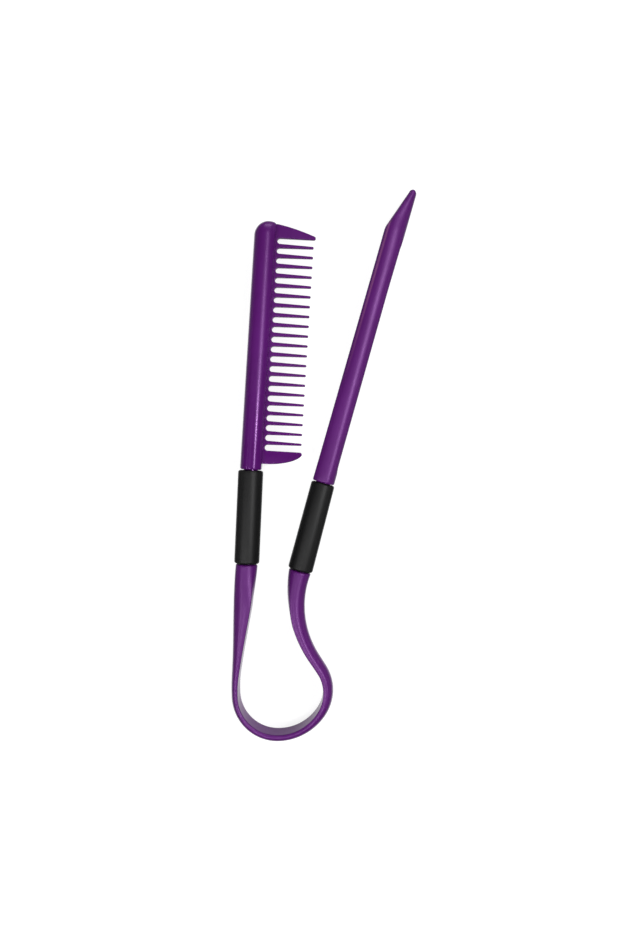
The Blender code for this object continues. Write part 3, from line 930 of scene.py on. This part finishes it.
def make_loop(sizes):
    """A straight bar with a flat inner side, rounded towards both ends, and bent along its route."""
    depth = sizes.grip_diameter
    length = loop_length()
    face = depth * FLAT_SHARE
    item = start_section(1, face, 0, -depth / 2, depth, depth / 2, BAND_CORNER)
    section = (0, -depth / 2, 0, face, depth)
    rings = []
    for index in range(LOOP_RINGS + 1):
        y = length * index / LOOP_RINGS
        width = band_at(y, sizes.band_thickness)
        shaped = (y, -width / 2, mix(width, -width, RIDGE_SHARE) / 2, width / 2, depth)
        if index:
            section = next_section(section, shaped)
        else:
            section = shape_section(section, shaped)
        rings.append((y, width))
    for y, width in rings:
        share = roundness_at(y)
        if share > NO_SIZE:
            end_width = LEG_WIDTH if y < length / 2 else NECK_WIDTH
            round_ring(y, width, mix(depth, end_width, share), share)
    round_end(0, -1)
    round_end(length, 1)
    leave_edit()
    weld(item)
    item.rotation_euler = (0, -pi / 2, 0)
    bpy.ops.object.transform_apply(location=True, rotation=True, scale=True)
    route = make_route()
    apply_modifier(item, "CURVE", object=route, deform_axis="POS_Y")
    bpy.data.objects.remove(route, do_unlink=True)
    weld(item)
    smooth(item, LOOP_SMOOTHING)
    return item


# Finishes


def add_node(tree, kind, x, y, **settings):
    made = tree.nodes.new(kind)
    made.location = (x, y)
    for name, value in settings.items():
        setattr(made, name, value)
    return made


def add_noise(tree, coordinates, x, y, scale, detail, stretch=(1, 1, 1)):
    turned = add_node(tree, "ShaderNodeMapping", x - 200, y)
    turned.inputs["Scale"].default_value = stretch
    tree.links.new(coordinates, turned.inputs["Vector"])
    noise = add_node(tree, "ShaderNodeTexNoise", x, y)
    noise.inputs["Scale"].default_value = scale
    noise.inputs["Detail"].default_value = detail
    tree.links.new(turned.outputs["Vector"], noise.inputs["Vector"])
    return noise.outputs["Fac"]


def add_range(tree, value, x, y, span, onto):
    """Carry the values between two numbers onto the values between two others."""
    made = add_node(tree, "ShaderNodeMapRange", x, y)
    for name, number in zip(("From Min", "From Max", "To Min", "To Max"), (*span, *onto)):
        made.inputs[name].default_value = number
    tree.links.new(value, made.inputs["Value"])
    return made.outputs["Result"]


def add_mix(tree, x, y, share, first, second):
    made = add_node(tree, "ShaderNodeMix", x, y, data_type="RGBA")
    tree.links.new(share, made.inputs["Factor"])
    for name, value in (("A", first), ("B", second)):
        socket = [one for one in made.inputs if one.name == name and one.type == "RGBA"][0]
        if isinstance(value, bpy.types.NodeSocket):
            tree.links.new(value, socket)
        else:
            socket.default_value = value
    return [one for one in made.outputs if one.type == "RGBA"][0]


def add_bump(tree, x, y, height, strength, distance, before=None):
    made = add_node(tree, "ShaderNodeBump", x, y)
    made.inputs["Strength"].default_value = strength
    made.inputs["Distance"].default_value = distance
    tree.links.new(height, made.inputs["Height"])
    if before is not None:
        tree.links.new(before, made.inputs["Normal"])
    return made.outputs["Normal"]


def add_math(tree, operation, x, y, first, second):
    made = add_node(tree, "ShaderNodeMath", x, y, operation=operation)
    tree.links.new(first, made.inputs[0])
    tree.links.new(second, made.inputs[1])
    return made.outputs["Value"]


# Each plastic's roughness, the strength of its gloss, its gloss where it is seen edge on, and the share of
# its roughness next to the sleeve
POLISHES = {
    "glossy_plastic": (0.31, 1.1, 0.45, 0.5),
    "satin_plastic": (0.40, 1.7, 0.06, 1.0),
    "sprung_plastic": (0.38, 1.4, 0.45, 1.0),
}
PLASTIC_IOR = 1.49
CLOUDS = 0.08
# Paler convex edges from pointiness: partly rubbed wear, partly a painted edge highlight
WEAR_AND_HIGHLIGHT_CURVE = (0.56, 0.68)
WEAR_AND_HIGHLIGHT = 0.35
RUB_ROUGHNESS = 0.04
# The stretch of Y in which the roughness next to the sleeve gives way to that of the rest
FOOT_STRETCH = (0.006, 0.044)
# How far the surface turns from the eye where its roughness falls, and the share that is left
EDGE_TURN = (0.7, 0.95)
EDGE_SHARE = 0.5
# The painted corner highlight, a paler line, fades in and out across the clamp arm, and fades in with
# height and along Y
CORNER_HIGHLIGHT_START = (-0.0041, -0.0038)
CORNER_HIGHLIGHT_END = (-0.0029, -0.0034)
CORNER_HIGHLIGHT_HEIGHTS = (0.0088, 0.0094)
CORNER_HIGHLIGHT_STRETCH = (0.035, 0.075)
CORNER_HIGHLIGHT_STRENGTH = 0.95
SHEEN_TINT = (0.84, 0.44, 1.0, 1.0)
# How far a surface turns from the eye, and its gloss there
RIM_GLOSS = ((0.0, 0.5), (0.2, 0.4), (0.42, 0.05), (0.6, 0.06))
EDGE_ON = 0.8
RUBBER_IOR = 1.42
RUBBER_GLOSS = (0.8, 0.45)
RUBBER_ROUGHNESS = (0.46, 0.54)
DUST = 0.35


def add_rim_gloss(tree, x, y, strength, edge):
    """How strongly the surface mirrors: most on top, hardly on the rounded rims, and edge on as given."""
    facing = add_node(tree, "ShaderNodeLayerWeight", x, y).outputs["Facing"]
    ramp = add_node(tree, "ShaderNodeValToRGB", x + 200, y)
    stops = ramp.color_ramp.elements
    while len(stops) <= len(RIM_GLOSS):
        stops.new(0.5)
    for stop, (place_at, gloss) in zip(stops, RIM_GLOSS + ((EDGE_ON, edge),)):
        stop.position = place_at
        stop.color = (gloss * strength, gloss * strength, gloss * strength, 1.0)
    tree.links.new(facing, ramp.inputs["Fac"])
    return ramp.outputs["Color"]


def add_corner_highlight(tree, where):
    """Where the clamp arm's upper corner gets a painted highlight, a paler line: along its face, next to
    the slanted tip.
    """
    across = add_node(tree, "ShaderNodeVectorMath", -1300, 1000, operation="DOT_PRODUCT")
    across.inputs[1].default_value = (cos(CLAMP_LEAN), -sin(CLAMP_LEAN), 0)
    tree.links.new(where, across.inputs[0])
    start = CLAMP_FOOT[0] * cos(CLAMP_LEAN) - CLAMP_FOOT[1] * sin(CLAMP_LEAN)
    sides = [
        add_range(tree, across.outputs["Value"], -1100, height, (start + low, start + high), (0, 1))
        for height, (low, high) in ((1000, CORNER_HIGHLIGHT_START), (800, CORNER_HIGHLIGHT_END))
    ]
    near = add_math(tree, "MULTIPLY", -900, 900, *sides)
    parts = add_node(tree, "ShaderNodeSeparateXYZ", -1300, 1200)
    tree.links.new(where, parts.inputs["Vector"])
    upper = add_range(tree, parts.outputs["Z"], -1100, 1200, CORNER_HIGHLIGHT_HEIGHTS, (0, 1))
    far = add_range(tree, parts.outputs["Y"], -1100, 1400, CORNER_HIGHLIGHT_STRETCH, (0, CORNER_HIGHLIGHT_STRENGTH))
    both = add_math(tree, "MULTIPLY", -900, 1100, near, upper)
    return add_math(tree, "MULTIPLY", -700, 1100, both, far)


def scaled(colour, share):
    """The colour made darker or lighter."""
    return (colour[0] * share, colour[1] * share, colour[2] * share, 1.0)


def plastic_finish(name, colours, polish, strength, edge_gloss, foot_share):
    """Moulded plastic: soft waves, fine rub marks along the arms, and paler edges that are partly rubbed
    wear and partly a painted edge highlight.

    It shines more where it is seen edge on, and next to the sleeve by its share of roughness there.
    """
    made = bpy.data.materials.new(name)
    made.use_nodes = True
    tree = made.node_tree
    shader = tree.nodes["Principled BSDF"]
    where = add_node(tree, "ShaderNodeTexCoord", -1300, 0).outputs["Object"]
    cloud = add_noise(tree, where, -900, 300, scale=45, detail=3)
    tint = add_mix(
        tree,
        -500,
        300,
        add_range(tree, cloud, -700, 300, (0.35, 0.65), (0, 1)),
        scaled(colours.plastic, 1 - CLOUDS),
        scaled(colours.plastic, 1 + CLOUDS),
    )
    # Paler convex edges, by pointiness and patches: partly rubbed wear, partly a painted edge highlight
    edges = add_node(tree, "ShaderNodeNewGeometry", -1300, 600).outputs["Pointiness"]
    patches = add_noise(tree, where, -900, 600, scale=420, detail=4)
    worn_and_highlit = add_math(
        tree,
        "MULTIPLY",
        -500,
        600,
        add_range(tree, edges, -700, 700, WEAR_AND_HIGHLIGHT_CURVE, (0, WEAR_AND_HIGHLIGHT)),
        add_range(tree, patches, -700, 500, (0.4, 0.65), (0.1, 1)),
    )
    colour = add_mix(tree, -250, 300, worn_and_highlit, tint, tuple(colours.plastic_wear_and_highlight))
    # The satin plastic gets a painted highlight, a paler line, along the clamp arm's upper corner
    if name == "satin_plastic":
        colour = add_mix(tree, -100, 500, add_corner_highlight(tree, where), colour, tuple(colours.corner))
    tree.links.new(colour, shader.inputs["Base Color"])
    rubbed = add_noise(tree, where, -900, 0, scale=260, detail=5, stretch=(5, 0.6, 5))
    smears = add_noise(tree, where, -900, -250, scale=70, detail=3)
    rough = add_math(
        tree,
        "ADD",
        -400,
        -100,
        add_range(tree, rubbed, -650, 0, (0.35, 0.7), (polish, polish + RUB_ROUGHNESS)),
        add_range(tree, smears, -650, -250, (0.35, 0.65), (0, RUB_ROUGHNESS)),
    )
    along = add_node(tree, "ShaderNodeSeparateXYZ", -900, -1200)
    tree.links.new(where, along.inputs["Vector"])
    foot = add_range(tree, along.outputs["Y"], -700, -1200, FOOT_STRETCH, (foot_share, 1))
    edge_on = add_node(tree, "ShaderNodeLayerWeight", -900, -1400).outputs["Facing"]
    edge = add_range(tree, edge_on, -700, -1400, EDGE_TURN, (1, EDGE_SHARE))
    shares = add_math(tree, "MULTIPLY", -400, -1300, foot, edge)
    rough = add_math(tree, "MULTIPLY", -200, -200, rough, shares)
    tree.links.new(rough, shader.inputs["Roughness"])
    waves = add_noise(tree, where, -900, -500, scale=140, detail=2)
    grain = add_noise(tree, where, -900, -750, scale=2600, detail=3)
    relief = add_bump(tree, -500, -500, waves, strength=0.05, distance=0.0002)
    relief = add_bump(tree, -300, -600, grain, strength=0.03, distance=0.00001, before=relief)
    tree.links.new(relief, shader.inputs["Normal"])
    gloss = add_rim_gloss(tree, -700, -950, strength, edge_gloss)
    tree.links.new(gloss, shader.inputs["Specular IOR Level"])
    shader.inputs["IOR"].default_value = PLASTIC_IOR
    shader.inputs["Specular Tint"].default_value = SHEEN_TINT
    return made


def rubber_finish(colours):
    """Fine matt rubber with a close grain and a little dust in it."""
    made = bpy.data.materials.new("sleeve_rubber")
    made.use_nodes = True
    tree = made.node_tree
    shader = tree.nodes["Principled BSDF"]
    where = add_node(tree, "ShaderNodeTexCoord", -1300, 0).outputs["Object"]
    grain = add_noise(tree, where, -900, 300, scale=3200, detail=3)
    dust = add_noise(tree, where, -900, 0, scale=160, detail=4)
    tint = add_mix(
        tree,
        -500,
        300,
        add_range(tree, grain, -700, 300, (0.4, 0.7), (0, 1)),
        tuple(colours.rubber),
        tuple(colours.rubber_pale),
    )
    dusty = add_range(tree, dust, -700, 0, (0.5, 0.8), (0, DUST))
    colour = add_mix(tree, -250, 200, dusty, tint, tuple(colours.rubber_pale))
    tree.links.new(colour, shader.inputs["Base Color"])
    rough = add_range(tree, grain, -700, -200, (0.3, 0.7), RUBBER_ROUGHNESS)
    tree.links.new(rough, shader.inputs["Roughness"])
    tree.links.new(add_rim_gloss(tree, -700, -650, *RUBBER_GLOSS), shader.inputs["Specular IOR Level"])
    shader.inputs["IOR"].default_value = RUBBER_IOR
    relief = add_bump(tree, -300, -400, grain, strength=0.35, distance=0.00006)
    tree.links.new(relief, shader.inputs["Normal"])
    return made


def material_for(name):
    """The finish of that name, made once."""
    if name in bpy.data.materials:
        return bpy.data.materials[name]
    colours = bpy.context.scene.comb_colours
    if name == "sleeve_rubber":
        return rubber_finish(colours)
    return plastic_finish(name, colours, *POLISHES[name])


# The studio

CAMERA_HEIGHT = 0.34555
CAMERA_OVER = (0.00271, -0.0001)
CAMERA_LENS = 44.29
CAMERA_SHIFT = -0.0314
CAMERA_SENSOR = 36
CAMERA_RANGE = (0.01, 20)
FLOOR_GLOW = 0.84
FLOOR_ROUGHNESS = 0.9
FLOOR_SIZE = 6
FLOOR_GAP = 0.00002
AIR_GLOW = 0.06
COMB_MIDDLE = (0, 0, 0.005)
# Each lamp's place, the place that it is turned to, its two sizes and its power
LAMPS = {
    "right_strip": ((0.64, 0.06, 1.02), COMB_MIDDLE, 0.84, 0.20, 7.1),
    "right_spot": ((0.64, -0.02, 1.02), COMB_MIDDLE, 0.10, 0.10, 2.1),
    "left_strip": ((-0.80, -0.43, 0.90), COMB_MIDDLE, 0.54, 0.12, 5.0),
    "wide_panel": ((-0.28, -0.45, 1.20), (-0.28, -0.45, 0), 0.55, 0.95, 0.5),
    "heel_panel": ((-0.21, -0.50, 1.19), (-0.21, -0.50, 0), 0.34, 0.24, 5.0),
    "far_panel": ((0.32, 1.30, 0.32), COMB_MIDDLE, 0.9, 0.36, 9.0),
}


def floor_finish(colour):
    """A matt pale table that reads as white to the camera, and keeps its shadows."""
    made = bpy.data.materials.new("pale_table")
    made.use_nodes = True
    tree = made.node_tree
    shader = tree.nodes["Principled BSDF"]
    shader.inputs["Base Color"].default_value = colour
    shader.inputs["Roughness"].default_value = FLOOR_ROUGHNESS
    shader.inputs["Specular IOR Level"].default_value = 0.0
    rays = add_node(tree, "ShaderNodeLightPath", -600, -300).outputs
    seen = add_math(tree, "MAXIMUM", -400, -300, rays["Is Camera Ray"], rays["Is Glossy Ray"])
    seen = add_math(tree, "MAXIMUM", -200, -300, seen, rays["Is Transmission Ray"])
    strength = add_range(tree, seen, 0, -300, (0, 1), (0, FLOOR_GLOW))
    glow = add_node(tree, "ShaderNodeEmission", 200, -300)
    tree.links.new(strength, glow.inputs["Strength"])
    both = add_node(tree, "ShaderNodeAddShader", 400, 0)
    tree.links.new(shader.outputs["BSDF"], both.inputs[0])
    tree.links.new(glow.outputs["Emission"], both.inputs[1])
    tree.links.new(both.outputs["Shader"], tree.nodes["Material Output"].inputs["Surface"])
    return made


def add_area(name, place_at, target, width, length, power):
    """A rectangular lamp, turned towards a place."""
    deselect_all()
    bpy.ops.object.light_add(type="AREA", location=place_at)
    lamp = bpy.context.object
    lamp.name = name
    lamp.data.shape = "RECTANGLE"
    lamp.data.size = width
    lamp.data.size_y = length
    lamp.data.energy = power
    towards = Vector(target) - Vector(place_at)
    lamp.rotation_euler = towards.to_track_quat("-Z", "Y").to_euler()


def make_floor(colour):
    deselect_all()
    bpy.ops.mesh.primitive_plane_add(size=FLOOR_SIZE, location=(0, 0, -FLOOR_GAP))
    floor = bpy.context.object
    floor.name = "table"
    bpy.ops.object.transform_apply(location=True, rotation=True, scale=True)
    floor.data.materials.append(floor_finish(colour))


def make_camera():
    deselect_all()
    bpy.ops.object.camera_add(location=(*CAMERA_OVER, CAMERA_HEIGHT), rotation=(0, 0, 0))
    camera = bpy.context.object
    camera.data.sensor_fit = "HORIZONTAL"
    camera.data.sensor_width = CAMERA_SENSOR
    camera.data.lens = CAMERA_LENS
    camera.data.shift_x = CAMERA_SHIFT
    camera.data.clip_start, camera.data.clip_end = CAMERA_RANGE
    camera.data.dof.use_dof = False
    bpy.context.scene.camera = camera


def make_lights():
    for name, settings in LAMPS.items():
        add_area(name, *settings)
    world = bpy.data.worlds.new("studio_air")
    bpy.context.scene.world = world
    world.use_nodes = True
    air = world.node_tree.nodes["Background"]
    air.inputs["Color"].default_value = (1.0, 1.0, 1.0, 1.0)
    air.inputs["Strength"].default_value = AIR_GLOW


# Operators


class COMB_OT_grips(bpy.types.Operator):
    """Model the two rubber sleeves"""

    bl_idname = "comb.grips"
    bl_label = "Rubber Sleeves"
    bl_options = {"REGISTER", "UNDO"}

    def execute(self, context):
        sizes = context.scene.comb_sizes
        width = sizes.grip_diameter
        rubber = material_for("sleeve_rubber")
        comb = make_grip(sizes.comb_grip_length, width, width, COMB_GRIP_FOOT, COMB_GRIP_LEAN)
        finish_piece(comb, "comb_sleeve", rubber, "comb_side", "comb_grip")
        clamp = make_grip(
            sizes.clamp_grip_length, width, sizes.clamp_grip_top, CLAMP_GRIP_FOOT, CLAMP_GRIP_LEAN
        )
        finish_piece(clamp, "clamp_sleeve", rubber, "clamp_side", "clamp_grip")
        return {"FINISHED"}


class COMB_OT_toothed_arm(bpy.types.Operator):
    """Model the toothed arm: its spine, teeth and guards"""

    bl_idname = "comb.toothed_arm"
    bl_label = "Toothed Arm"
    bl_options = {"REGISTER", "UNDO"}

    def execute(self, context):
        arm = make_comb_head(context.scene.comb_sizes)
        plastic = material_for("glossy_plastic")
        finish_piece(arm, "toothed_arm", plastic, "comb_side", "comb_head")
        return {"FINISHED"}


class COMB_OT_clamp_arm(bpy.types.Operator):
    """Model the slotted clamp arm"""

    bl_idname = "comb.clamp_arm"
    bl_label = "Clamp Arm"
    bl_options = {"REGISTER", "UNDO"}

    def execute(self, context):
        arm = make_clamp_arm(context.scene.comb_sizes)
        plastic = material_for("satin_plastic")
        finish_piece(arm, "slotted_arm", plastic, "clamp_side", "clamp_arm")
        return {"FINISHED"}


class COMB_OT_spring(bpy.types.Operator):
    """Model the springy loop between the two arms"""

    bl_idname = "comb.spring"
    bl_label = "Springy Loop"
    bl_options = {"REGISTER", "UNDO"}

    def execute(self, context):
        loop = make_loop(context.scene.comb_sizes)
        loop.name = "spring_band"
        loop.data.name = "spring_band"
        loop.data.materials.append(material_for("sprung_plastic"))
        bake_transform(loop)
        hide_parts("spring_loop")
        return {"FINISHED"}


class COMB_OT_stage(bpy.types.Operator):
    """Set up the table, the lights and the camera"""

    bl_idname = "comb.stage"
    bl_label = "Studio"
    bl_options = {"REGISTER", "UNDO"}

    def execute(self, context):
        make_floor(context.scene.comb_colours.floor)
        make_lights()
        make_camera()
        context.scene.view_settings.view_transform = "Standard"
        return {"FINISHED"}


class COMB_PT_panel(bpy.types.Panel):
    """The comb's pieces, sizes and colours"""

    bl_idname = "COMB_PT_panel"
    bl_label = "Squeeze Comb"
    bl_space_type = "VIEW_3D"
    bl_region_type = "UI"
    bl_category = "Comb"

    def draw(self, context):
        column = self.layout.column(align=True)
        for operator in OPERATORS:
            column.operator(operator.bl_idname)
        for group in (context.scene.comb_sizes, context.scene.comb_colours):
            box = self.layout.box()
            for name in group.__annotations__:
                box.prop(group, name)


OPERATORS = (COMB_OT_stage, COMB_OT_grips, COMB_OT_toothed_arm, COMB_OT_clamp_arm, COMB_OT_spring)
CLASSES = (CombSizes, CombColours) + OPERATORS + (COMB_PT_panel,)


def register():
    for one in CLASSES:
        bpy.utils.register_class(one)
    bpy.types.Scene.comb_sizes = PointerProperty(type=CombSizes)
    bpy.types.Scene.comb_colours = PointerProperty(type=CombColours)


def unregister():
    del bpy.types.Scene.comb_colours
    del bpy.types.Scene.comb_sizes
    for one in reversed(CLASSES):
        bpy.utils.unregister_class(one)


def main():
    register()
    bpy.ops.comb.stage()
    bpy.ops.comb.grips()
    bpy.ops.comb.toothed_arm()
    bpy.ops.comb.clamp_arm()
    bpy.ops.comb.spring()


if __name__ == "__main__":
    main()
